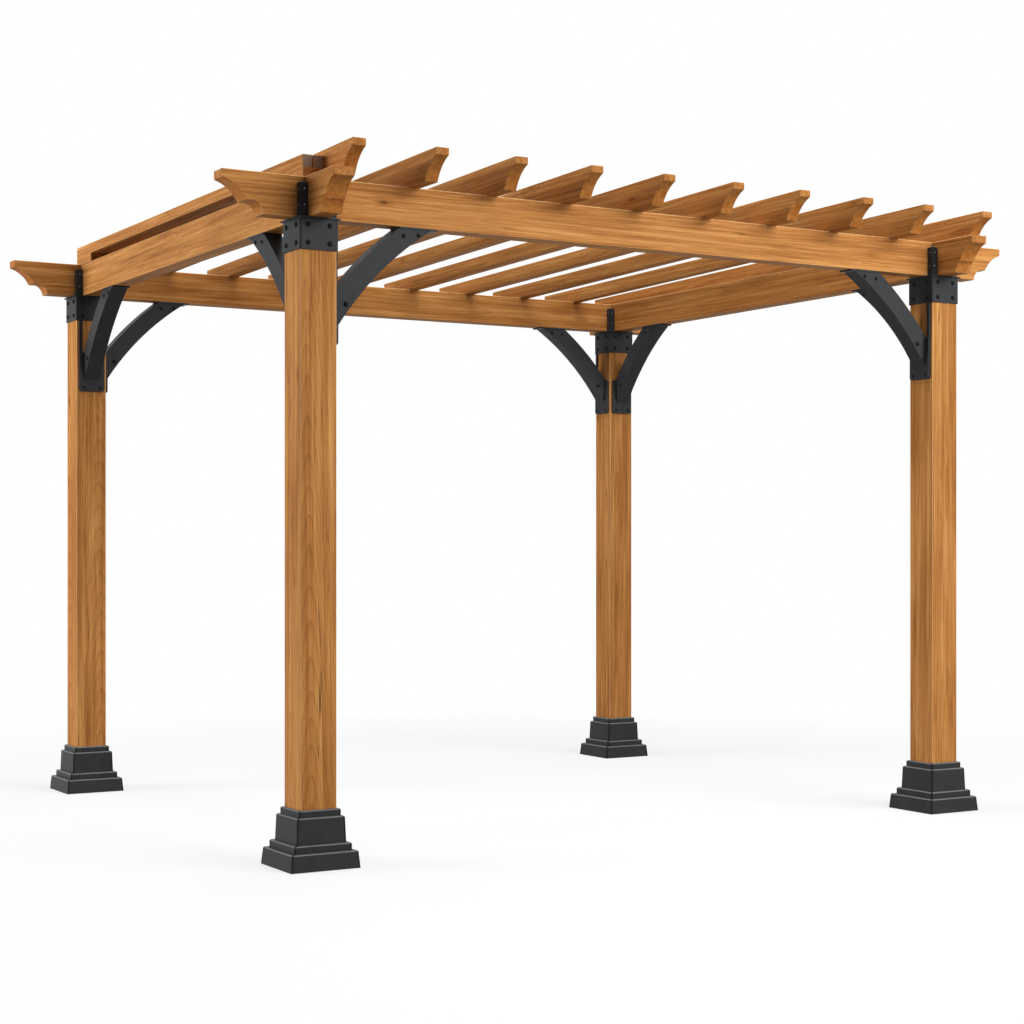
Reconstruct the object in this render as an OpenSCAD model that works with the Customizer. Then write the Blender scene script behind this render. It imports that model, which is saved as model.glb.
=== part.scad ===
// Wooden pergola: four posts, crossing beams with carved tails, rafters and steel brackets.
// Millimetres, +Z up. The origin is on the ground, midway between the posts. X runs along the long beams.

/* [Layout] */
// Distance between post centres along the long beams
bay_x = 2950; // [2000:10:4200]
// Distance between post centres along the short beams
bay_y = 2510; // [1800:10:3600]
// Height of the underside of the beams above the ground
beam_z = 2300; // [1900:10:2800]

/* [Posts] */
// Side of a square post
post_side = 140; // [110:1:180]
// Radius of the eased long edges of the timber
edge_r = 3; // [1:0.5:6]

/* [Beams] */
// Thickness of a beam
beam_t = 80; // [50:1:100]
// Height of a beam
beam_h = 146; // [120:1:200]
// Reach of a long beam past the outer face of its posts
beam_x_reach = 280; // [200:5:420]
// Reach of a short beam past the outer face of its posts
beam_y_reach = 208; // [140:2:360]
// Side clearance in the half-lap where two beams cross
lap_clear = 0.5; // [0.2:0.1:2]

/* [Beam tails] */
// Height of the plain tip at the end of a beam
tip_h = 30; // [15:1:45]
// Height of the lower cove of a tail
cove_h = 45; // [25:1:60]
// Run of the upper cove on a long beam
upper_run_x = 87; // [60:1:110]
// Length of the flat step on a long beam
step_run_x = 31; // [10:1:45]
// Run of the lower cove on a long beam
lower_run_x = 33; // [20:1:45]
// Run of the upper cove on a short beam
upper_run_y = 74; // [50:1:90]
// Length of the flat step on a short beam
step_run_y = 6; // [2:1:20]
// Run of the lower cove on a short beam
lower_run_y = 20; // [15:1:30]
// Hollow of the upper cove below its chord
upper_sag = 12; // [6:0.5:16]
// Hollow of the lower cove below its chord on a long beam
lower_sag_x = 9; // [4:0.5:11]
// Hollow of the lower cove below its chord on a short beam
lower_sag_y = 3.5; // [2:0.5:4]

/* [Rafters] */
// Number of rafters
rafter_n = 10; // [6:1:14]
// Thickness of a rafter
rafter_t = 52; // [36:1:64]
// Height of a rafter at its tails and over the beams
rafter_h = 110; // [90:1:140]
// Reach of a rafter past the outer face of the posts
rafter_reach = 187; // [160:1:320]
// Height of the plain tip at the end of a rafter
rafter_tip = 26; // [15:1:35]
// Run of the cove under a rafter tail
rafter_run = 86; // [60:1:100]
// Hollow of that cove below its chord
rafter_sag = 13; // [6:0.5:16]
// Depth of the hollow along the underside between the beams
relief = 50; // [20:1:55]
// Run of the cove at each end of that hollow
relief_run = 150; // [100:5:300]
// Sag of that cove below its chord
relief_sag = 11; // [4:0.5:12]
// Length of full height that is left inside each beam
relief_gap = 10; // [5:1:80]

/* [Side rail] */
// Height of the rail that lies over the left beam
rail_h = 46; // [30:1:55]
// Gap between the two boards of the rail
board_gap = 4; // [2:0.5:10]
// Distance of each rail end from the outer face of its post
rail_inset = 50; // [20:1:75]
// Length of the block under each rail end
block_l = 200; // [140:5:260]
// Height of that block
block_h = 38; // [25:1:60]
// Gap between the rail and the first rafter
rail_gap = 3; // [1:0.5:8]

/* [Base covers] */
// Width of the cover on the ground
base_w = 267; // [235:1:300]
// Inward slope of the bottom tier, on each side
base_draft = 5.5; // [2:0.5:9]
// Height of the bottom tier
base_h = 62; // [45:1:80]
// Width of the second tier
tier2_w = 221; // [205:1:230]
// Height of the second tier
tier2_h = 27; // [18:1:40]
// Width of the tall tier at its foot
tier3_w = 191; // [184:1:198]
// Inward slope of the tall tier, on each side
tier3_draft = 3.5; // [1:0.5:6]
// Height of the tall tier
tier3_h = 94; // [60:1:130]
// Width of the top tier beyond the post, on each side
collar_w = 11; // [8:0.5:14]
// Height of the top tier
collar_h = 25; // [15:1:40]
// Bevel along the top edge of each tier
tier_bevel = 4; // [1:0.5:6]
// Wall of the cover
cover_wall = 5; // [3:0.5:6]

/* [Post caps] */
// Wall of the sleeve around the post top
cap_wall = 5; // [3:0.5:8]
// Height of the sleeve
cap_h = 110; // [80:1:150]
// Thickness of the plate on the sleeve
cap_plate_t = 6; // [4:0.5:10]
// Reach of the plate past the sleeve
cap_lip = 6.5; // [3:0.5:12]
// Height of the corner angles above the plate
angle_h = 121; // [80:1:135]
// Wall of the corner angles
angle_wall = 4; // [3:0.5:6]
// Radius of the top corners of the angles
angle_r = 7; // [3:0.5:12]
// Fitting clearance between steel and timber
fit_clear = 0.5; // [0.2:0.1:2]

/* [Knee braces] */
// Reach of the curved bar from the post face and from the beam
brace_reach = 408; // [340:2:500]
// Radius of the curved underside of a brace
brace_r = 1250; // [900:10:1600]
// Depth of the curved bar
brace_depth = 76; // [50:1:90]
// Width of the curved bar
brace_w = 72; // [40:1:74]
// Thickness of the plate under the beam
seat_t = 7; // [4:0.5:12]
// Length of the plate under the beam
seat_l = 152; // [120:1:190]
// Width of the plate under the beam
seat_w = 78; // [74:1:80]
// Thickness of the plate on the post
foot_t = 12; // [8:0.5:16]
// Length of the plate on the post
foot_l = 178; // [150:1:210]
// Reach of that plate below the ends of the bar
foot_drop = 36; // [25:1:50]
// Width of the plate on the post
foot_w = 118; // [90:1:130]
// Radius of the corners of the plate on the post
foot_r = 12; // [5:1:20]
// Reach of the plate under the beam past the end of the bar
seat_over = 12; // [6:1:20]
// Width of the strap from the plate on the post up to the cap
strap_w = 14; // [8:1:24]
// Thickness of that strap
strap_t = 9; // [4:0.5:12]

/* [Hidden] */
wood = "peru";
steel = "dimgray";
cut = 1;
$fn = 48;
beam_top = beam_z + beam_h;
post_top = beam_z - cap_plate_t;
face_x = bay_x / 2 + post_side / 2;
face_y = bay_y / 2 + post_side / 2;
long_beam = 2 * (face_x + beam_x_reach);
short_beam = 2 * (face_y + beam_y_reach);
rafter_l = 2 * (face_y + rafter_reach);
corner = (post_side - beam_t) / 2;
sleeve_w = post_side + 2 * (fit_clear + cap_wall);
plate_w = sleeve_w + 2 * cap_lip;
rafter_pitch = bay_x / (rafter_n - 1);
rail_shift = beam_t / 2 + rail_gap + rafter_t / 2;
board_w = (beam_t - board_gap) / 2;
relief_half = bay_y / 2 - beam_t / 2 - relief_gap;
tail_x = [upper_run_x, step_run_x, lower_run_x];
tail_y = [upper_run_y, step_run_y, lower_run_y];
brace_half = norm([brace_reach, brace_reach]) / 2;
brace_centre = brace_reach / 2 + sqrt(pow(brace_r, 2) - pow(brace_half, 2)) / sqrt(2);
foot_low = brace_reach + foot_drop;
strap_low = foot_low - foot_l + foot_r;
strap_high = cap_plate_t + cap_h + fit_clear;

// Centre of the circle that hollows the line from p to q by the given sag, on the right of that line
function sag_radius(p, q, sag) = pow(norm(q - p), 2) / (8 * sag) + sag / 2;
function sag_centre(p, q, sag) =
    (p + q) / 2 + (sag_radius(p, q, sag) - sag) * [(q - p)[1], (p - q)[0]] / norm(q - p);

// Hollow between p, high and near the tip, and q, low and further in
module cove(p, q, sag) {
    intersection() {
        translate(sag_centre(p, q, sag)) circle(r = sag_radius(p, q, sag), $fn = 96);
        translate([p[0], q[1]]) square([q[0] - p[0], p[1] - q[1]]);
    }
}

// Rectangle about the origin with round corners
module round_rect(w, h, r) {
    square([w, h - 2 * r], center = true);
    square([w - 2 * r, h], center = true);
    for (x = [-1, 1], y = [-1, 1])
        translate([x * (w / 2 - r), y * (h / 2 - r)]) circle(r = r);
}

// What is sawn off below the tip at one end of a timber; x = 0 is the tip's face, y = 0 the underside
module tail_waste(h, tip, low_h, run, low_sag, sag) {
    a = [0, h - tip];
    b = [run[0], low_h];
    c = [run[0] + run[1], low_h];
    d = [run[0] + run[1] + run[2], 0];
    polygon([[-cut, h - tip], a, b, c, d, [d[0], -cut], [-cut, -cut]]);
    cove(a, b, sag);
    if (low_h > 0) cove(c, d, low_sag);
}

// Timber along X with its underside at z = 0, eased long edges and a carved tail at both ends
module carved_timber(l, t, h, tip, low_h, run, low_sag, sag) {
    intersection() {
        rotate([90, 0, 0]) linear_extrude(t, center = true) difference() {
            translate([-l / 2, 0]) square([l, h]);
            for (side = [0, 1]) mirror([side, 0]) translate([-l / 2, 0])
                tail_waste(h, tip, low_h, run, low_sag, sag);
        }
        translate([0, 0, h / 2]) rotate([90, 0, 90])
            linear_extrude(l + 2 * cut, center = true) round_rect(t, h, edge_r);
    }
}

// Half-lap slots for the crossing beams; low takes the lower half away
module lap_slots(spacing, low) {
    for (x = [-1, 1]) translate([x * spacing / 2, 0, low ? 0 : beam_h])
        cube([beam_t + 2 * lap_clear, beam_t + 2 * cut, beam_h], center = true);
}

module long_beam() {
    color(wood) translate([0, 0, beam_z]) difference() {
        carved_timber(long_beam, beam_t, beam_h, tip_h, cove_h, tail_x, lower_sag_x, upper_sag);
        lap_slots(bay_x, true);
    }
}

module short_beam() {
    color(wood) translate([0, 0, beam_z]) rotate([0, 0, 90]) difference() {
        carved_timber(short_beam, beam_t, beam_h, tip_h, cove_h, tail_y, lower_sag_y, upper_sag);
        lap_slots(bay_y, false);
    }
}

// What is sawn out along the underside of a rafter, from its middle to one end of the hollow
module relief_waste() {
    a = [relief_half - relief_run, relief];
    b = [relief_half, 0];
    polygon([[-cut, relief], a, b, [b[0], -cut], [-cut, -cut]]);
    cove(a, b, relief_sag);
}

// Rafters are evenly spaced, and each end one stands beside the beam below it: the first next to the rail
module rafter(i) {
    color(wood) translate([i * rafter_pitch + rail_shift - bay_x / 2, 0, beam_top]) rotate([0, 0, 90])
        difference() {
            carved_timber(rafter_l, rafter_t, rafter_h, rafter_tip, 0, [rafter_run, 0, 0], 0, rafter_sag);
            rotate([90, 0, 0]) linear_extrude(rafter_t + 2 * cut, center = true)
                for (side = [0, 1]) mirror([side, 0]) relief_waste();
        }
}

module post() {
    color(wood) linear_extrude(post_top) round_rect(post_side, post_side, edge_r);
}

// Straight rail over the left beam: two boards side by side
module side_rail() {
    color(wood) for (side = [-1, 1])
        translate([side * (board_w + board_gap) / 2, 0, beam_top + block_h + rail_h / 2]) rotate([90, 0, 0])
            linear_extrude(2 * (face_y - rail_inset), center = true) round_rect(board_w, rail_h, edge_r);
}

// Block that carries one end of the rail; its outer end is flush with the rail's
module rail_block() {
    color(wood) translate([0, face_y - rail_inset - block_l / 2, beam_top])
        linear_extrude(block_h) round_rect(beam_t, block_l, edge_r);
}

// Half outline of the base cover: tiers with sloping or upright sides and bevelled top edges
module tier_outline(inset, floor_z, bevel) {
    z1 = base_h;
    z2 = z1 + tier2_h;
    z3 = z2 + tier3_h;
    z4 = z3 + collar_h;
    w1 = base_w / 2 - inset;
    w2 = tier2_w / 2 - inset;
    w3 = tier3_w / 2 - inset;
    w4 = post_side / 2 + collar_w - inset;
    w1t = w1 - base_draft;
    w3t = w3 - tier3_draft;
    side = [
        [w1, floor_z], [w1t, z1 - inset - bevel], [w1t - bevel, z1 - inset],
        [w2, z1 - inset], [w2, z2 - inset - bevel], [w2 - bevel, z2 - inset],
        [w3, z2 - inset], [w3t, z3 - inset - bevel], [w3t - bevel, z3 - inset],
        [w4, z3 - inset], [w4, z4 - inset - bevel], [w4 - bevel, z4 - inset]
    ];
    polygon(concat(side, [for (i = [len(side) - 1:-1:0]) [-side[i][0], side[i][1]]]));
}

// Square body whose four sides all follow the tier outline
module tiered_block(inset, floor_z, bevel) {
    intersection_for(turn = [0, 90]) rotate([90, 0, turn])
        linear_extrude(base_w + 2 * cut, center = true) tier_outline(inset, floor_z, bevel);
}

module base_cover() {
    hole = post_side + 2 * fit_clear;
    color(steel) difference() {
        tiered_block(0, 0, tier_bevel);
        tiered_block(cover_wall, -cut, 0);
        linear_extrude(beam_z) round_rect(hole, hole, edge_r);
    }
}

// One leg of a corner angle: a strip with a round top corner away from the bend
module angle_leg(leg) {
    rotate([90, 0, 0]) linear_extrude(angle_wall, center = true) {
        square([leg, angle_h - angle_r]);
        square([leg - angle_r, angle_h]);
        translate([leg - angle_r, angle_h - angle_r]) circle(r = angle_r);
    }
}

// Angle that fills the corner between two crossing beams, bent at the post's corner
module corner_angle() {
    leg = corner - fit_clear;
    translate([-post_side / 2, -post_side / 2, beam_z]) {
        translate([0, angle_wall / 2, 0]) angle_leg(leg);
        translate([angle_wall / 2, 0, 0]) rotate([0, 0, 90]) angle_leg(leg);
    }
}

// Sleeve over the post top, the plate that the beams rest on and an angle at each corner
module post_cap() {
    hole = post_side + 2 * fit_clear;
    color(steel) {
        translate([0, 0, post_top - cap_h]) linear_extrude(cap_h) difference() {
            round_rect(sleeve_w, sleeve_w, edge_r + cap_wall);
            round_rect(hole, hole, edge_r);
        }
        translate([0, 0, post_top]) linear_extrude(cap_plate_t) round_rect(plate_w, plate_w, edge_r);
        for (turn = [0:90:270]) rotate([0, 0, turn]) corner_angle();
    }
}

// Curved bar of a brace in the plane of post and beam; x is out from the post, y is down from the beam
module brace_bar() {
    intersection() {
        square(brace_reach);
        translate([brace_centre, brace_centre]) difference() {
            circle(r = brace_r + brace_depth, $fn = 180);
            circle(r = brace_r, $fn = 180);
        }
    }
}

// Knee brace out along +X from a post face at x = 0, under a beam at z = 0; outer is the sign of the
// side that faces out of the pergola, where a strap ties the plate on the post to the cap
module knee_brace(outer) {
    color(steel) {
        rotate([-90, 0, 0]) linear_extrude(brace_w, center = true) brace_bar();
        translate([brace_reach + seat_over - seat_l / 2, 0, -seat_t]) linear_extrude(seat_t)
            square([seat_l, seat_w], center = true);
        translate([0, 0, foot_l / 2 - foot_low]) rotate([90, 0, 90])
            linear_extrude(foot_t) round_rect(foot_w, foot_l, foot_r);
        translate([strap_t / 2, outer * (foot_w - strap_w) / 2, -strap_low])
            linear_extrude(strap_low - strap_high) square([strap_t, strap_w], center = true);
    }
}

// Places of the four posts: sx is -1 on the left, sy is -1 at the front
module at_post(sx, sy) {
    translate([sx * bay_x / 2, sy * bay_y / 2, 0]) children();
}

module brace_x(sx, sy) {
    at_post(sx, sy) mirror([sx > 0 ? 1 : 0, 0, 0]) translate([post_side / 2, 0, beam_z]) knee_brace(sy);
}

module brace_y(sx, sy) {
    at_post(sx, sy) mirror([0, sy > 0 ? 1 : 0, 0]) translate([0, post_side / 2, beam_z])
        rotate([0, 0, 90]) knee_brace(-sx);
}

at_post(-1, -1) post();  // post_front_left
at_post(1, -1) post();  // post_front_right
at_post(-1, 1) post();  // post_back_left
at_post(1, 1) post();  // post_back_right
at_post(-1, -1) base_cover();  // base_front_left
at_post(1, -1) base_cover();  // base_front_right
at_post(-1, 1) base_cover();  // base_back_left
at_post(1, 1) base_cover();  // base_back_right
at_post(-1, -1) post_cap();  // cap_front_left
at_post(1, -1) post_cap();  // cap_front_right
at_post(-1, 1) post_cap();  // cap_back_left
at_post(1, 1) post_cap();  // cap_back_right
translate([0, -bay_y / 2, 0]) long_beam();  // beam_front
translate([0, bay_y / 2, 0]) long_beam();  // beam_back
translate([-bay_x / 2, 0, 0]) short_beam();  // beam_left
translate([bay_x / 2, 0, 0]) short_beam();  // beam_right
rafter(0);  // rafter_01
rafter(1);  // rafter_02
rafter(2);  // rafter_03
rafter(3);  // rafter_04
rafter(4);  // rafter_05
rafter(5);  // rafter_06
rafter(6);  // rafter_07
rafter(7);  // rafter_08
rafter(8);  // rafter_09
rafter(9);  // rafter_10
translate([-bay_x / 2, 0, 0]) side_rail();  // rail_left
translate([-bay_x / 2, 0, 0]) mirror([0, 1, 0]) rail_block();  // rail_block_front
translate([-bay_x / 2, 0, 0]) rail_block();  // rail_block_back
brace_x(-1, -1);  // brace_front_left_x
brace_x(1, -1);  // brace_front_right_x
brace_x(-1, 1);  // brace_back_left_x
brace_x(1, 1);  // brace_back_right_x
brace_y(-1, -1);  // brace_front_left_y
brace_y(1, -1);  // brace_front_right_y
brace_y(-1, 1);  // brace_back_left_y
brace_y(1, 1);  // brace_back_right_y
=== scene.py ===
"""Looks of a timber pergola, in metres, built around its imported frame."""
import math
import random

import bmesh
import bpy
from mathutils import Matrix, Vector


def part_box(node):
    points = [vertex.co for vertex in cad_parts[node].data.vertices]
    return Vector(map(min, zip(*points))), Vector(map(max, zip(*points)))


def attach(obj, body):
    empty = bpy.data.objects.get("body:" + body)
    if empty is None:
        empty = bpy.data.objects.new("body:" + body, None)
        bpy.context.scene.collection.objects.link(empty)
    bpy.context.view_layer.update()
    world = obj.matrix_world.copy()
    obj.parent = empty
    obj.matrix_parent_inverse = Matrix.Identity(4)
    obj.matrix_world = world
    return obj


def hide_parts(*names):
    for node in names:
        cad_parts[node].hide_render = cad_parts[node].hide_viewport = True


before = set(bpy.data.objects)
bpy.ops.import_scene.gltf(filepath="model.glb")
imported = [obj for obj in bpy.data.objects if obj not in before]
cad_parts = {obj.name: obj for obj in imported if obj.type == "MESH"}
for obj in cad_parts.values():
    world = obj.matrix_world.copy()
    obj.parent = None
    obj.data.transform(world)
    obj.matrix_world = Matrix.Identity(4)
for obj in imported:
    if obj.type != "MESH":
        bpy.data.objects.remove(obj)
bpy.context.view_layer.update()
scene = bpy.context.scene
scene.view_settings.view_transform = "Standard"


# Posts: four square posts of cedar, planed on all sides and eased along their edges.
# A brush coat of honey-brown stain lets the figure of the wood show through.
# Each stands in its base cover and carries the beams through a steel cap.
MM = 0.001
CORNERS = ("front_left", "front_right", "back_left", "back_right")
POST_EASE, POST_PITH = 3 * MM, (20 * MM, 55 * MM)
# How fast the tree grew thinner: fast gives arches on the faces, slow gives straight lines
ARCHED, STRAIGHT = 0.06, 0.012
# How far the grain leans in a timber, how much timbers differ in tone, and the metres of grain to cut from
LEAN, TONE, GRAIN_RUN = 0.012, 0.05, 40
GRAIN_SEED = 11
# How dark cut ends are drawn: where they stand upright, from the stain end grain takes, and where they
# overhang, with painted shade added
END_STAIN_AND_SHADE = (0.18, 0.62)
# How pale an upright edge is drawn, by wear and a painted highlight
UPRIGHT_WEAR_AND_HIGHLIGHT = 0.55


def linear(code):
    """Linear colour of an sRGB hex code."""
    parts = [int(code[i:i + 2], 16) / 255 for i in (1, 3, 5)]
    return [p / 12.92 if p <= 0.04045 else ((p + 0.055) / 1.055) ** 2.4 for p in parts] + [1.0]


def add_node(tree, kind, links=None, stops=None, out=0, **settings):
    """Adds a node and returns one of its outputs. links gives each socket a value or another node's
    output, stops fill a colour ramp."""
    made = tree.nodes.new(kind)
    for name, value in settings.items():
        setattr(made, name, value)
    for socket, value in (links or {}).items():
        if isinstance(value, bpy.types.NodeSocket):
            tree.links.new(value, made.inputs[socket])
        else:
            made.inputs[socket].default_value = value
    for i, (place, colour) in enumerate(stops or ()):
        stop = made.color_ramp.elements[i] if i < 2 else made.color_ramp.elements.new(place)
        stop.position, stop.color = place, colour
    return made.outputs[out] if made.outputs else None


def new_material(name):
    """An empty node material and its tree."""
    material = bpy.data.materials.new(name)
    material.use_nodes = True
    material.node_tree.nodes.clear()
    return material, material.node_tree


def stained_cedar():
    """Cedar under a honey-brown stain: growth rings cut lengthways to arches and lines, soft streaks, fine
    dark pore lines, a few small knots that the rings bend around, hairline checks, eased edges painted
    paler (wear, and a painted highlight strongest where they face up), ends darker from the stain they
    take and from painted shade where they face down, and a satin sheen. The pore lines are drawn coarser
    than the real ones so that they show."""
    ring_w, swells_per_m, ring_drift, bend = 7 * MM, 70.0, 1.1, 12 * MM
    knot_w, knot_gap, knot_push = 120 * MM, 420 * MM, 1.4
    material, tree = new_material("stained_cedar")
    grain = add_node(tree, "ShaderNodeAttribute", attribute_name="grain", out="Vector")
    finish = add_node(tree, "ShaderNodeAttribute", attribute_name="finish", out="Vector")
    # finish holds the tone, how pale an edge is painted by wear and a painted highlight, and how dark an
    # end is made by stain and painted shade
    tone, edge_wear_and_highlight, end = add_node(tree, "ShaderNodeSeparateXYZ", {0: finish}).node.outputs
    taper = add_node(tree, "ShaderNodeAttribute", attribute_name="taper", out="Fac")

    # Noise drawn out along the grain: width and length of its patches, detail, and share of the fine lines
    noise = {}
    for name, width, length, detail, fine in (
            ("wander", 200 * MM, 800 * MM, 2.0, 0.5),
            ("drift", 90 * MM, 500 * MM, 3.0, 0.5),
            ("streak", 18 * MM, 1000 * MM, 6.0, 0.75),
            ("fibre", 3.5 * MM, 300 * MM, 3.0, 0.65),
            ("pore", 12 * MM, 500 * MM, 2.0, 0.6),
            ("crack", 26 * MM, 1900 * MM, 1.0, 0.5)):
        drawn = add_node(tree, "ShaderNodeMapping", {
            "Vector": grain, "Scale": (1 / width, 1 / width, 1 / length)})
        noise[name] = add_node(tree, "ShaderNodeTexNoise", {
            "Vector": drawn, "Scale": 1.0, "Detail": detail, "Roughness": fine}).node
    streak, fibre, drift = (noise[name].outputs[0] for name in ("streak", "fibre", "drift"))
    knot_cells = add_node(tree, "ShaderNodeMapping", {
        "Vector": grain, "Scale": (1 / knot_w, 1 / knot_w, 1 / knot_gap)})
    knot = add_node(tree, "ShaderNodeTexVoronoi", {"Vector": knot_cells, "Scale": 1.0})

    # Pores and cracks lie where their noise crosses its middle value
    off_line = {}
    for name in ("pore", "crack"):
        off = add_node(tree, "ShaderNodeMath", {0: noise[name].outputs[0], 1: 0.5}, operation="SUBTRACT")
        off_line[name] = add_node(tree, "ShaderNodeMath", {0: off}, operation="ABSOLUTE")

    # Soft masks: full at the first value, gone at the second
    mask = {}
    for name, value, full, gone in (
            ("near_knot", knot, 0.0, 0.30),
            ("knot_halo", knot, 0.04, 0.15),
            ("knot_heart", knot, 0.02, 0.06),
            ("pore", off_line["pore"], 0.0, 0.035),
            ("crack", off_line["crack"], 0.0, 0.009),
            ("patchy", drift, 0.38, 0.62),
            ("dry", drift, 0.62, 0.52),
            ("long_grain", end, 0.02, 0.12)):
        mask[name] = add_node(tree, "ShaderNodeMapRange", {
            "Value": value, "From Min": full, "From Max": gone, "To Min": 1.0, "To Max": 0.0},
            interpolation_type="SMOOTHSTEP")

    # Growth rings around the heart of the tree, bent along the timber, opened to arches by the tree's
    # taper, unevenly spaced and pushed aside by the knots
    wander = add_node(tree, "ShaderNodeVectorMath", {0: noise["wander"].outputs[1], 1: (0.5, 0.5, 0.5)},
                      operation="SUBTRACT")
    place = add_node(tree, "ShaderNodeVectorMath", {0: wander, 1: (bend, bend, 0.0), 2: grain},
                     operation="MULTIPLY_ADD")
    place = add_node(tree, "ShaderNodeVectorMath", {0: place, 1: (1.0, 1.0, 0.0)}, operation="MULTIPLY")
    radius = add_node(tree, "ShaderNodeVectorMath", {0: place}, operation="LENGTH", out="Value")
    uneven = add_node(tree, "ShaderNodeTexNoise", {"W": radius, "Scale": swells_per_m, "Detail": 1.0},
                      noise_dimensions="1D")
    along = add_node(tree, "ShaderNodeSeparateXYZ", {0: grain}, out="Z")
    grown = add_node(tree, "ShaderNodeMath", {0: along, 1: taper}, operation="MULTIPLY")
    rings = 0.0
    for value, share in ((radius, 1 / ring_w), (grown, 1 / ring_w), (uneven, ring_drift),
                         (mask["near_knot"], knot_push)):
        rings = add_node(tree, "ShaderNodeMath", {0: value, 1: share, 2: rings}, operation="MULTIPLY_ADD")
    rings = add_node(tree, "ShaderNodeMath", {0: rings}, operation="FRACT")
    ring = add_node(tree, "ShaderNodeValToRGB", {0: rings}, stops=[
        (part, (shade, shade, shade, 1.0))
        for part, shade in ((0.0, 0.10), (1.0, 0.0), (0.05, 0.85), (0.70, 0.72), (0.88, 0.35))])

    # Stain colour from the summed figure, quieter on sawn ends, then each feature laid over it
    ring = add_node(tree, "ShaderNodeMix", {"Factor": mask["long_grain"], "A": 0.5, "B": ring},
                    data_type="FLOAT")
    figure = -0.92
    for layer, share in ((ring, 0.20), (fibre, 0.50), (streak, 1.62), (drift, 0.45)):
        figure = add_node(tree, "ShaderNodeMath", {0: layer, 1: share, 2: figure}, operation="MULTIPLY_ADD")
    colour = add_node(tree, "ShaderNodeValToRGB", {0: figure}, stops=[
        (0.15, linear("#895629")), (0.88, linear("#D69F60")), (0.42, linear("#A96F38")),
        (0.62, linear("#BC8247"))])
    crack = add_node(tree, "ShaderNodeMath", {0: mask["crack"], 1: mask["dry"]}, operation="MULTIPLY")
    pore = add_node(tree, "ShaderNodeMath", {0: mask["pore"], 1: mask["patchy"]}, operation="MULTIPLY")
    # Colour of cut ends: the stain end grain takes, with painted shade on ends that face down; bare rail
    # ends are a weathered grey brown
    cut = add_node(tree, "ShaderNodeValToRGB", {0: end}, stops=[
        (0.5, linear("#9A520E")), (0.8, linear("#8A7B70"))])
    # Eased edges are painted paler, partly wear and partly a painted highlight; ends are darkened by the
    # stain they take and by painted shade where they face down
    for layer, share, tint in (
            (mask["knot_halo"], 0.6, linear("#9A5D26")),
            (mask["knot_heart"], 0.8, linear("#54300F")),
            (pore, 0.5, linear("#7A4A20")),
            (crack, 0.75, linear("#4E2C10")),
            (edge_wear_and_highlight, 0.65, linear("#EDC48C")),
            (end, 1.0, cut)):
        amount = add_node(tree, "ShaderNodeMath", {0: layer, 1: share}, operation="MULTIPLY")
        colour = add_node(tree, "ShaderNodeMix", {"Factor": amount, "A": colour, "B": tint},
                          data_type="RGBA", out="Result")
    bright = add_node(tree, "ShaderNodeMath", {0: tone, 1: 1.0}, operation="ADD")
    colour = add_node(tree, "ShaderNodeHueSaturation", {"Value": bright, "Color": colour})

    # Raised fibres, sunk checks, and a sheen that follows the streaks
    height = 0.0
    for layer, share in ((fibre, 0.8), (ring, 0.4), (crack, -1.5)):
        height = add_node(tree, "ShaderNodeMath", {0: layer, 1: share, 2: height}, operation="MULTIPLY_ADD")
    bump = add_node(tree, "ShaderNodeBump", {"Height": height, "Strength": 0.35, "Distance": 0.6 * MM})
    rough = add_node(tree, "ShaderNodeMath", {0: streak, 1: 0.25, 2: 0.45}, operation="MULTIPLY_ADD")
    shader = add_node(tree, "ShaderNodeBsdfPrincipled", {
        "Base Color": colour, "Roughness": rough, "IOR": 1.45, "Specular IOR Level": 0.06, "Normal": bump})
    add_node(tree, "ShaderNodeOutputMaterial", {"Surface": shader})
    return material


def node_shape(source):
    """Shape of a frame piece."""
    shape = bmesh.new()
    shape.from_mesh(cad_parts[source].data)
    return shape


def eased_piece(shape, name, ease, strip_w):
    """Piece of the given shape with its sharp edges rounded over. Also gives, for each point, how far
    up its edge faces, or None off the edges, which are under strip_w wide, and the normal of its
    largest face."""
    merge, level, sharp = 0.01 * MM, math.radians(0.5), math.radians(30)
    bmesh.ops.remove_doubles(shape, verts=shape.verts, dist=merge)
    bmesh.ops.dissolve_limit(shape, angle_limit=level, verts=shape.verts, edges=shape.edges)
    corners = [e for e in shape.edges if e.is_manifold and e.calc_face_angle() > sharp]
    bmesh.ops.bevel(shape, geom=corners, offset=ease, segments=3, profile=0.5, affect="EDGES",
                    clamp_overlap=True)
    shape.normal_update()
    strip = {f for f in shape.faces if f.calc_area() < strip_w * max(e.calc_length() for e in f.edges)}
    normals = [max(v.link_faces, key=lambda f: f.calc_area()).normal.copy() for v in shape.verts]
    edges = [n.z if all(f in strip for f in v.link_faces) else None for v, n in zip(shape.verts, normals)]
    mesh = bpy.data.meshes.new(name)
    shape.to_mesh(mesh)
    shape.free()
    mesh.shade_smooth()
    piece = bpy.data.objects.new(name, mesh)
    scene.collection.objects.link(piece)
    return piece, edges, normals


def plain_mesh(piece):
    """Puts the evaluated shape of a piece in place of its mesh and modifiers."""
    graph = bpy.context.evaluated_depsgraph_get()
    made = bpy.data.meshes.new_from_object(piece.evaluated_get(graph), preserve_all_data_layers=True,
                                           depsgraph=graph)
    piece.modifiers.clear()
    piece.data = made


def keep_shading(piece):
    """Gives flat faces level shading up to their eased edges."""
    piece.modifiers.new("level_shading", "WEIGHTED_NORMAL").weight = 100
    plain_mesh(piece)


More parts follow.
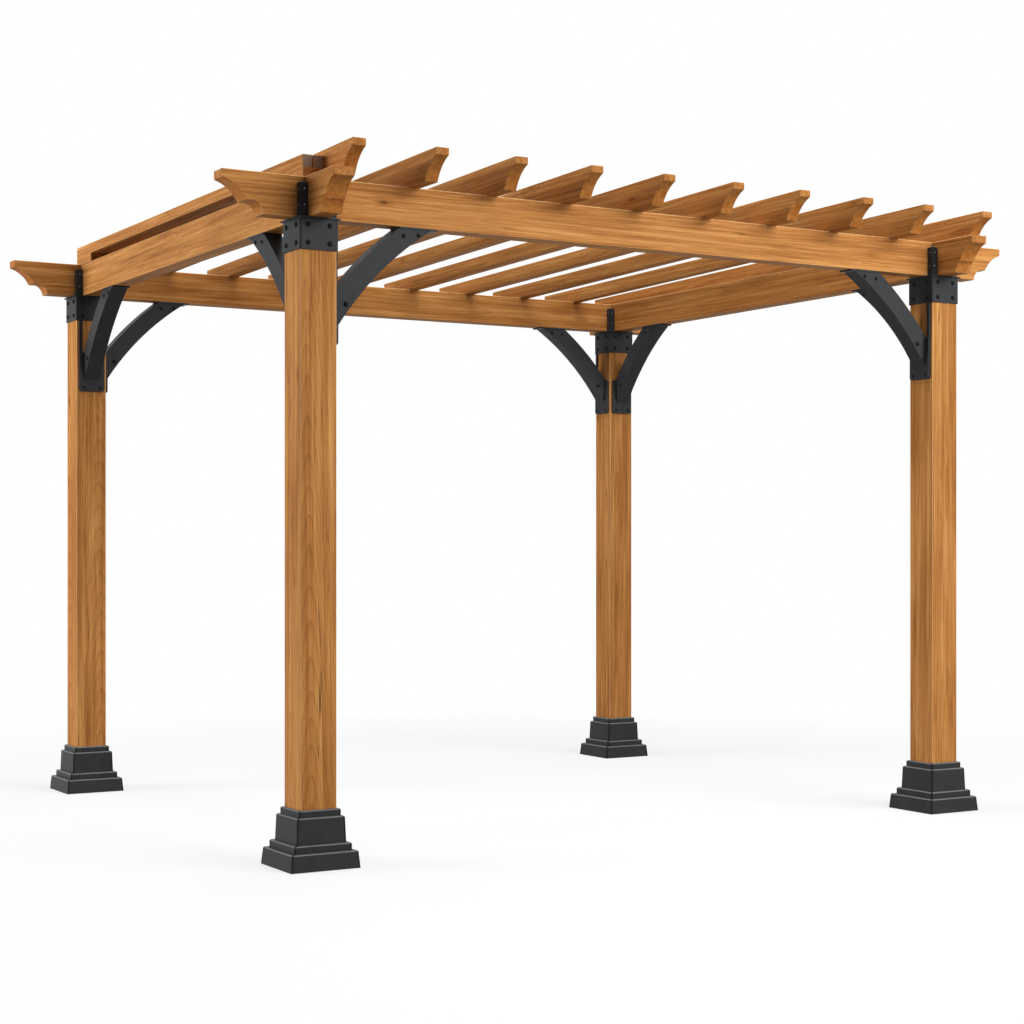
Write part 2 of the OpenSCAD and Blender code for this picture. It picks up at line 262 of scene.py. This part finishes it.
def add_timber(source, shape, along, ease, pith_reach, taper=STRAIGHT, end_colour_and_shade=END_STAIN_AND_SHADE):
    """Finished timber in place of a frame piece. along is its length axis, pith_reach how far off its
    middle the heart of the tree may lie, taper how fast the tree grew thinner, and the last argument how
    dark its cut ends are drawn where they stand upright and where they overhang. Its finish holds the tone,
    how pale an edge is painted, and how dark an end is painted. Edges are paler from wear and from a
    painted highlight: palest where they face up, least where they face down. Ends are darker from the
    stain they take, and from painted shade where they overhang."""
    piece, edges, normals = eased_piece(shape, "stained_" + source, ease, ease)
    low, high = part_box(source)
    middle = (low + high) / 2
    across = [i for i in range(3) if i != along]
    turn, reach = draw.uniform(0, 2 * math.pi), draw.uniform(*pith_reach)
    pith = (reach * math.cos(turn), reach * math.sin(turn))
    lean = (draw.uniform(-LEAN, LEAN), draw.uniform(-LEAN, LEAN))
    start, tone = draw.uniform(0, GRAIN_RUN), draw.uniform(-TONE, TONE)
    upright, overhung_shade = end_colour_and_shade
    grain, finish = [], []
    for vertex, edge, normal in zip(piece.data.vertices, edges, normals):
        place = vertex.co - middle
        length = place[along]
        grain += [place[k] - pith[i] + lean[i] * length for i, k in enumerate(across)] + [length + start]
        # Paler edges: wear, and a painted highlight that grows as an edge faces up
        lit_and_worn = 0.0 if edge is None else max(UPRIGHT_WEAR_AND_HIGHLIGHT * (1 + min(0.0, edge)), edge)
        # Darker ends: stain taken by end grain, and painted shade on ends that face down
        stain_and_shade = upright + (overhung_shade - upright) * max(0.0, -normal.z)
        finish += [tone, lit_and_worn, stain_and_shade * abs(normal[along])]
    for name, values in (("grain", grain), ("finish", finish)):
        piece.data.attributes.new(name, "FLOAT_VECTOR", "POINT").data.foreach_set("vector", values)
    piece.data.attributes.new("taper", "FLOAT", "POINT").data.foreach_set("value", [taper] * len(edges))
    piece.data.materials.append(cedar)
    keep_shading(piece)
    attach(piece, "root")
    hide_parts(source)


draw = random.Random(GRAIN_SEED)
cedar = stained_cedar()
X, Y, Z = range(3)
for corner in CORNERS:
    post = "post_" + corner
    taper = ARCHED if "left" in corner else STRAIGHT
    add_timber(post, node_shape(post), Z, POST_EASE, POST_PITH, taper)


# Base covers: stepped sleeves of folded sheet steel round the foot of each post.
# Three tiers and a collar, welded at the corners, under a satin black powder coat.
# Dark lines of painted shade run down the corners of the covers, this wide
COVER_EASE, COVER_BEVEL, CORNER_SHADE_W = 1.5 * MM, 6 * MM, 6 * MM


def powder_coat(name, pale, dark, corner_shade_w=0.0):
    """Black polyester powder baked on steel: a satin skin with a faint orange-peel grain, a slightly
    uneven sheen, and edges painted paler where they face up, partly rubbed wear and partly a painted
    highlight. With its last argument, dark lines of painted shade run down the corners of a square sleeve.
    The peel is drawn coarser than the real 1 mm so that it shows."""
    peel, cloud, cover = 2.5 * MM, 90 * MM, 0.8
    material, tree = new_material(name)
    place = add_node(tree, "ShaderNodeTexCoord", out="Object")
    finish = add_node(tree, "ShaderNodeAttribute", attribute_name="finish", out="Vector")
    rubbed_and_lit, *off_axis = add_node(tree, "ShaderNodeSeparateXYZ", {0: finish}).node.outputs
    clouds = add_node(tree, "ShaderNodeTexNoise", {"Vector": place, "Scale": 1 / cloud, "Detail": 4.0})
    grit = add_node(tree, "ShaderNodeTexNoise", {"Vector": place, "Scale": 1 / peel, "Detail": 2.0})
    colour = add_node(tree, "ShaderNodeValToRGB", {0: clouds}, stops=[
        (0.3, linear(dark)), (0.7, linear(pale))])
    across, deep = (add_node(tree, "ShaderNodeMath", {0: off}, operation="ABSOLUTE") for off in off_axis)
    # How far a point lies from a corner of the sleeve, where a line of painted shade is laid
    off_corner = add_node(tree, "ShaderNodeMath", {0: across, 1: deep}, operation="SUBTRACT")
    off_corner = add_node(tree, "ShaderNodeMath", {0: off_corner}, operation="ABSOLUTE")
    corner_shade = add_node(tree, "ShaderNodeMath", {0: off_corner, 1: corner_shade_w}, operation="LESS_THAN")
    # Edges that face up are painted paler, rubbed wear and a painted highlight; the corner lines are
    # painted shade
    for layer, tint in ((rubbed_and_lit, "#85878A"), (corner_shade, "#121213")):
        amount = add_node(tree, "ShaderNodeMath", {0: layer, 1: cover}, operation="MULTIPLY")
        colour = add_node(tree, "ShaderNodeMix", {"Factor": amount, "A": colour, "B": linear(tint)},
                          data_type="RGBA", out="Result")
    rough = add_node(tree, "ShaderNodeMath", {0: clouds, 1: 0.16, 2: 0.32}, operation="MULTIPLY_ADD")
    bump = add_node(tree, "ShaderNodeBump", {"Height": grit, "Strength": 0.25, "Distance": 0.15 * MM})
    shader = add_node(tree, "ShaderNodeBsdfPrincipled", {
        "Base Color": colour, "Roughness": rough, "Specular IOR Level": 0.05, "Normal": bump})
    add_node(tree, "ShaderNodeOutputMaterial", {"Surface": shader})
    return material


def add_steel(source, ease, strip_w, material):
    """Finished steel piece in place of a frame piece. Its finish holds how pale a point is painted, by
    rubbed wear and a painted highlight on edges that face up, and how far it lies off the middle of the
    piece, across and in depth."""
    piece, edges, _ = eased_piece(node_shape(source), "coated_" + source, ease, strip_w)
    low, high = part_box(source)
    middle = (low + high) / 2
    finish = []
    for vertex, edge in zip(piece.data.vertices, edges):
        # Paler edges: rubbed wear and a painted highlight on edges that face up
        finish += [max(0.0, edge or 0.0), vertex.co.x - middle.x, vertex.co.y - middle.y]
    piece.data.attributes.new("finish", "FLOAT_VECTOR", "POINT").data.foreach_set("vector", finish)
    piece.data.materials.append(material)
    keep_shading(piece)
    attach(piece, "root")
    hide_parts(source)


cover_coat = powder_coat("powder_coated_cover", "#363737", "#303132", CORNER_SHADE_W)
for corner in CORNERS:
    add_steel("base_" + corner, COVER_EASE, COVER_BEVEL, cover_coat)


# Post caps: welded steel boxes over the post tops, with a plate for the beams and an upright angle
# at each corner. Powder coated like the covers.
# Domed bolts hold the box to the post, two rows on each side, and small zinc screws hold the angles.
CAP_EASE = 1.2 * MM
CAP_SKIN = 5.5 * MM
BOLT_HEAD, BOLT_RISE = 8 * MM, 5.5 * MM
BOLT_ACROSS, BOLT_ROWS = 42 * MM, (24 * MM, 88 * MM)
# Sizes of heads, against the plain one
CAP_BOLT, PLAIN = 1.2, 1.0
SCREW_HEAD, SCREW_RISE = 2.6 * MM, 1.4 * MM
SCREW_IN, SCREW_ROWS = 14.75 * MM, (25 * MM, 81 * MM)
SIDES = [Vector(side) for side in ((1, 0, 0), (0, 1, 0), (-1, 0, 0), (0, -1, 0))]


def zinc_plate():
    """Zinc plate on screw heads: a grey metal with small dull and clear patches."""
    patch_w = 1.5 * MM
    material, tree = new_material("zinc_plated_steel")
    place = add_node(tree, "ShaderNodeTexCoord", out="Object")
    patch = add_node(tree, "ShaderNodeTexNoise", {"Vector": place, "Scale": 1 / patch_w, "Detail": 2.0})
    colour = add_node(tree, "ShaderNodeValToRGB", {0: patch}, stops=[
        (0.3, linear("#6A6D70")), (0.7, linear("#9A9DA0"))])
    rough = add_node(tree, "ShaderNodeMath", {0: patch, 1: 0.3, 2: 0.25}, operation="MULTIPLY_ADD")
    shader = add_node(tree, "ShaderNodeBsdfPrincipled", {
        "Base Color": colour, "Roughness": rough, "Metallic": 1.0})
    add_node(tree, "ShaderNodeOutputMaterial", {"Surface": shader})
    return material


def head_tree():
    """Tree that sets domed heads on points: a ball with its lower half pressed flat, turned to face each
    point's way."""
    tree = bpy.data.node_groups.new("domed_heads", "GeometryNodeTree")
    tree.is_modifier = True
    tree.interface.new_socket("Geometry", in_out="OUTPUT", socket_type="NodeSocketGeometry")
    for name, kind in (("Geometry", "Geometry"), ("Radius", "Float"), ("Rise", "Float"),
                       ("Material", "Material")):
        tree.interface.new_socket(name, in_out="INPUT", socket_type="NodeSocket" + kind)
    given = add_node(tree, "NodeGroupInput").node.outputs
    ball = add_node(tree, "GeometryNodeMeshUVSphere", {
        "Segments": 20, "Rings": 12, "Radius": given["Radius"]})
    at = add_node(tree, "GeometryNodeInputPosition")
    x, y, z = add_node(tree, "ShaderNodeSeparateXYZ", {0: at}).node.outputs
    z = add_node(tree, "ShaderNodeMath", {0: z, 1: 0.0}, operation="MAXIMUM")
    share = add_node(tree, "ShaderNodeMath", {0: given["Rise"], 1: given["Radius"]}, operation="DIVIDE")
    z = add_node(tree, "ShaderNodeMath", {0: z, 1: share}, operation="MULTIPLY")
    at = add_node(tree, "ShaderNodeCombineXYZ", {0: x, 1: y, 2: z})
    dome = add_node(tree, "GeometryNodeSetPosition", {"Geometry": ball, "Position": at})
    facing = add_node(tree, "GeometryNodeInputNamedAttribute", {"Name": "facing"}, data_type="FLOAT_VECTOR")
    turn = add_node(tree, "FunctionNodeAlignRotationToVector", {"Vector": facing}, axis="Z")
    size = add_node(tree, "GeometryNodeInputNamedAttribute", {"Name": "size"}, data_type="FLOAT")
    heads = add_node(tree, "GeometryNodeInstanceOnPoints", {
        "Points": given["Geometry"], "Instance": dome, "Rotation": turn, "Scale": size})
    heads = add_node(tree, "GeometryNodeRealizeInstances", {"Geometry": heads})
    heads = add_node(tree, "GeometryNodeSetMaterial", {"Geometry": heads, "Material": given["Material"]})
    add_node(tree, "NodeGroupOutput", {"Geometry": heads})
    return tree


def add_heads(name, heads, radius, rise, material):
    """Set of fastener heads. Each of heads is a place on a face, the way it faces, and a size."""
    places, facings, sizes = zip(*heads)
    points = bpy.data.meshes.new(name)
    points.from_pydata(places, [], [])
    points.attributes.new("facing", "FLOAT_VECTOR", "POINT").data.foreach_set(
        "vector", [value for facing in facings for value in facing])
    points.attributes.new("size", "FLOAT", "POINT").data.foreach_set("value", sizes)
    piece = bpy.data.objects.new(name, points)
    scene.collection.objects.link(piece)
    made = piece.modifiers.new("heads", "NODES")
    made.node_group = domed_heads
    socket = {item.name: item.identifier for item in domed_heads.interface.items_tree
              if item.in_out == "INPUT"}
    for key, value in (("Radius", radius), ("Rise", rise), ("Material", material)):
        made[socket[key]] = value
    plain_mesh(piece)
    piece.data.shade_smooth()
    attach(piece, "root")


bracket_coat = powder_coat("powder_coated_bracket", "#363738", "#2F3031")
bolt_coat = powder_coat("powder_coated_bolt", "#1F2021", "#18191A")
zinc = zinc_plate()
domed_heads = head_tree()
for corner in CORNERS:
    add_steel("cap_" + corner, CAP_EASE, CAP_EASE, bracket_coat)
    low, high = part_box("post_" + corner)
    cap_low, cap_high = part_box("cap_" + corner)
    axis, half = (low + high) / 2, (high.x - low.x) / 2
    bolts, screws = [], []
    for side in SIDES:
        across = Vector((0, 0, 1)).cross(side)
        for sign in (-1, 1):
            for row in BOLT_ROWS:
                spot = axis + side * (half + CAP_SKIN) + across * sign * BOLT_ACROSS
                bolts.append(((spot.x, spot.y, cap_low.z + row), side, CAP_BOLT))
            for row in SCREW_ROWS:
                spot = axis + side * half + across * sign * (half - SCREW_IN)
                screws.append(((spot.x, spot.y, cap_high.z - row), side, PLAIN))
    add_heads("bolts_cap_" + corner, bolts, BOLT_HEAD, BOLT_RISE, bolt_coat)
    add_heads("screws_cap_" + corner, screws, SCREW_HEAD, SCREW_RISE, zinc)


# Beams: a frame of four planed beams, half lapped where they cross over the posts.
# Their tails are sawn to two coves with a step between, and the same stain runs over the cuts.
BEAM_EASE = 2.5 * MM
BOARD_PITH = (60 * MM, 150 * MM)
for side, along in (("front", X), ("back", X), ("left", Y), ("right", Y)):
    beam = "beam_" + side
    add_timber(beam, node_shape(beam), along, BEAM_EASE, BOARD_PITH)


# Knee braces: curved steel bars from post to beam with a plate at each end, two at every post.
# Bent and welded, powder coated like the caps.
# Domed bolts go through both ends of the bar, and two more hold the plate to the post.
BRACE_EASE = 1.5 * MM
BAR_HALF, PLATE_FACE = 36 * MM, 12 * MM
# Reach from the post, drop below the beam and size of each bolt through the bar
BAR_BOLTS = (
    (285 * MM, 32 * MM, PLAIN),
    (346 * MM, 26 * MM, PLAIN),
    (53 * MM, 295 * MM, 1.25),
    (19 * MM, 360 * MM, 0.8))
PLATE_BOLT_ACROSS, PLATE_BOLT_DROP, PLATE_BOLT = 38 * MM, 426 * MM, 0.9
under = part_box("beam_front")[0].z
down = Vector((0, 0, -1))
for corner in CORNERS:
    low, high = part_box("post_" + corner)
    axis, half = (low + high) / 2, (high.x - low.x) / 2
    for along in (X, Y):
        brace = f"brace_{corner}_{'xy'[along]}"
        add_steel(brace, BRACE_EASE, BRACE_EASE, bracket_coat)
        out, side = Vector((0, 0, 0)), Vector((0, 0, 0))
        out[along] = -math.copysign(1, axis[along])
        side[1 - along] = 1
        top = Vector((axis.x, axis.y, under)) + out * half
        bolts = [(top + out * reach + down * drop + side * sign * BAR_HALF, side * sign, size)
                 for reach, drop, size in BAR_BOLTS for sign in (-1, 1)]
        foot = top + out * PLATE_FACE + down * PLATE_BOLT_DROP
        bolts += [(foot + side * sign * PLATE_BOLT_ACROSS, out, PLATE_BOLT) for sign in (-1, 1)]
        add_heads("bolts_" + brace, bolts, BOLT_HEAD, BOLT_RISE, bolt_coat)


# Rafters: ten boards on edge across the long beams, stained like the beams.
# Each has a carved tail and its full depth over the front beam. Behind that it is sawn shallower, and it
# falls a little to its square back end.
RAFTER_COUNT, RAFTER_EASE = 10, 2 * MM
TAIL_TIP, TAIL_RUN, TAIL_SAG = 26 * MM, 86 * MM, 13 * MM
SAWN_GAP, SAWN_RUN, SAWN_RISE, SAWN_SAG = 10 * MM, 150 * MM, 40 * MM, 9 * MM
BACK_DEPTH = 62 * MM


def hollow(start, end, sag, steps=10):
    """Points of the curve that sags, to the left of the way from start to end, off the straight line."""
    way = end - start
    left = Vector((-way.y, way.x)).normalized()
    return [start + way * t + left * 4 * sag * t * (1 - t) for t in (i / steps for i in range(steps + 1))]


def rafter_shape(source):
    """Side outline of a rafter, as points of depth and height, drawn out across its thickness."""
    low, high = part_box(source)
    front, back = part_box("beam_front")[1].y + SAWN_GAP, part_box("beam_back")[0].y
    outline = hollow(Vector((low.y, high.z - TAIL_TIP)), Vector((low.y + TAIL_RUN, low.z)), TAIL_SAG)
    outline += hollow(Vector((front, low.z)), Vector((front + SAWN_RUN, low.z + SAWN_RISE)), SAWN_SAG)
    outline += [Vector(p) for p in (
        (back, low.z), (high.y, low.z), (high.y, low.z + BACK_DEPTH), (low.y, high.z))]
    shape = bmesh.new()
    side = shape.faces.new([shape.verts.new((low.x, p.x, p.y)) for p in outline])
    drawn = bmesh.ops.extrude_face_region(shape, geom=[side])["geom"]
    moved = [v for v in drawn if isinstance(v, bmesh.types.BMVert)]
    bmesh.ops.translate(shape, vec=(high.x - low.x, 0, 0), verts=moved)
    bmesh.ops.recalc_face_normals(shape, faces=shape.faces)
    return shape


for number in range(1, RAFTER_COUNT + 1):
    rafter = f"rafter_{number:02d}"
    add_timber(rafter, rafter_shape(rafter), Y, RAFTER_EASE, BOARD_PITH)


# Side rail: two boards side by side over the left beam, on a packing block at each end.
# Their ends are left bare and have weathered to a grey brown.
RAIL_EASE, BARE_END = 2 * MM, (0.9, 0.9)
for board, tint in (("rail_left", BARE_END), ("rail_block_front", END_STAIN_AND_SHADE), ("rail_block_back", END_STAIN_AND_SHADE)):
    add_timber(board, node_shape(board), Y, RAIL_EASE, BOARD_PITH, end_colour_and_shade=tint)


# Floor: a plain pale studio floor. Direct views show it white with the soft shadow of the pergola,
# and it fades into the white backdrop between two distances from the middle.
FLOOR_REACH = 45.0
FADE_FROM, FADE_TO = 2.4, 5.0
FLOOR_LIFT = 0.68
shape = bmesh.new()
bmesh.ops.create_grid(shape, x_segments=8, y_segments=8, size=FLOOR_REACH)
floor_mesh = bpy.data.meshes.new("studio_floor")
shape.to_mesh(floor_mesh)
shape.free()
floor = bpy.data.objects.new("studio_floor", floor_mesh)
scene.collection.objects.link(floor)


def seen_directly(tree):
    """1 for a view of the surface itself, straight on, mirrored or through glass."""
    path = add_node(tree, "ShaderNodeLightPath").node.outputs
    either = add_node(tree, "ShaderNodeMath", {0: path["Is Camera Ray"], 1: path["Is Glossy Ray"]},
                      operation="MAXIMUM")
    return add_node(tree, "ShaderNodeMath", {0: either, 1: path["Is Transmission Ray"]},
                    operation="MAXIMUM")


def pale_floor():
    """Matt pale sheet, lifted to white in direct views, that becomes the plain backdrop farther out."""
    material, tree = new_material("pale_studio_floor")
    place = add_node(tree, "ShaderNodeTexCoord", out="Object")
    away = add_node(tree, "ShaderNodeVectorMath", {0: place}, operation="LENGTH", out="Value")
    far = add_node(tree, "ShaderNodeMapRange", {
        "Value": away, "From Min": FADE_FROM, "From Max": FADE_TO, "To Min": 0.0, "To Max": 1.0},
        interpolation_type="SMOOTHSTEP")
    sheet = add_node(tree, "ShaderNodeBsdfDiffuse", {"Color": linear("#888888")})
    seen = seen_directly(tree)
    glow = add_node(tree, "ShaderNodeMath", {0: seen, 1: FLOOR_LIFT}, operation="MULTIPLY")
    lift = add_node(tree, "ShaderNodeEmission", {"Strength": glow})
    near = add_node(tree, "ShaderNodeAddShader", {0: sheet, 1: lift})
    white = add_node(tree, "ShaderNodeEmission", {"Strength": 1.0})
    blend = add_node(tree, "ShaderNodeMath", {0: far, 1: seen}, operation="MULTIPLY")
    surface = add_node(tree, "ShaderNodeMixShader", {0: blend, 1: near, 2: white})
    add_node(tree, "ShaderNodeOutputMaterial", {"Surface": surface})
    return material


floor_mesh.materials.append(pale_floor())


# Light: a wide soft box in front, to the right, one far to the left and one overhead.
# An even white surround shows as the backdrop and lights the pergola only dimly.
surround = bpy.data.worlds.new("white_surround")
surround.use_nodes = True
sky = surround.node_tree
sky.nodes.clear()
dim = add_node(sky, "ShaderNodeBackground", {"Color": linear("#F4F6FA"), "Strength": 0.2})
white = add_node(sky, "ShaderNodeBackground", {"Color": linear("#FFFFFF"), "Strength": 1.0})
both = add_node(sky, "ShaderNodeMixShader", {0: seen_directly(sky), 1: dim, 2: white})
add_node(sky, "ShaderNodeOutputWorld", {"Surface": both})
scene.world = surround


def soft_box(name, place, target, size, power):
    """Rectangular studio light at place, turned to target."""
    lamp = bpy.data.lights.new(name, "AREA")
    lamp.shape, lamp.energy = "RECTANGLE", power
    lamp.size, lamp.size_y = size
    box = bpy.data.objects.new(name, lamp)
    box.location = place
    box.rotation_euler = (Vector(target) - Vector(place)).to_track_quat("-Z", "Y").to_euler()
    box.visible_camera = False
    scene.collection.objects.link(box)


soft_box("left_box", (-10.0, 3.4, 3.0), (-0.5, 0.2, 1.4), (5.0, 4.0), 840)
soft_box("front_box", (3.2, -7.6, 4.2), (0.2, 0.0, 1.4), (6.5, 4.5), 705)
soft_box("top_box", (0.0, 0.0, 7.5), (0.0, 0.0, 0.0), (5.0, 5.0), 480)


# Camera: level, at about chest height, outside the front left post.
# Its lens and rise come from a focal length and a horizon in pixels of a square frame.
CAMERA_PLACE = (-4.3609, -7.5842, 1.1400)
CAMERA_TURN = math.radians(30.437)
FOCAL_PX, HORIZON_PX, FRAME_PX, SENSOR_MM = 1941.85, 545.71, 1024, 36
lens = bpy.data.cameras.new("photo_camera")
lens.sensor_width = SENSOR_MM
lens.lens = FOCAL_PX * SENSOR_MM / FRAME_PX
lens.shift_y = (HORIZON_PX - FRAME_PX / 2) / FRAME_PX
camera = bpy.data.objects.new("photo_camera", lens)
camera.location = CAMERA_PLACE
camera.rotation_euler = (math.pi / 2, 0.0, -CAMERA_TURN)
scene.collection.objects.link(camera)
scene.camera = camera
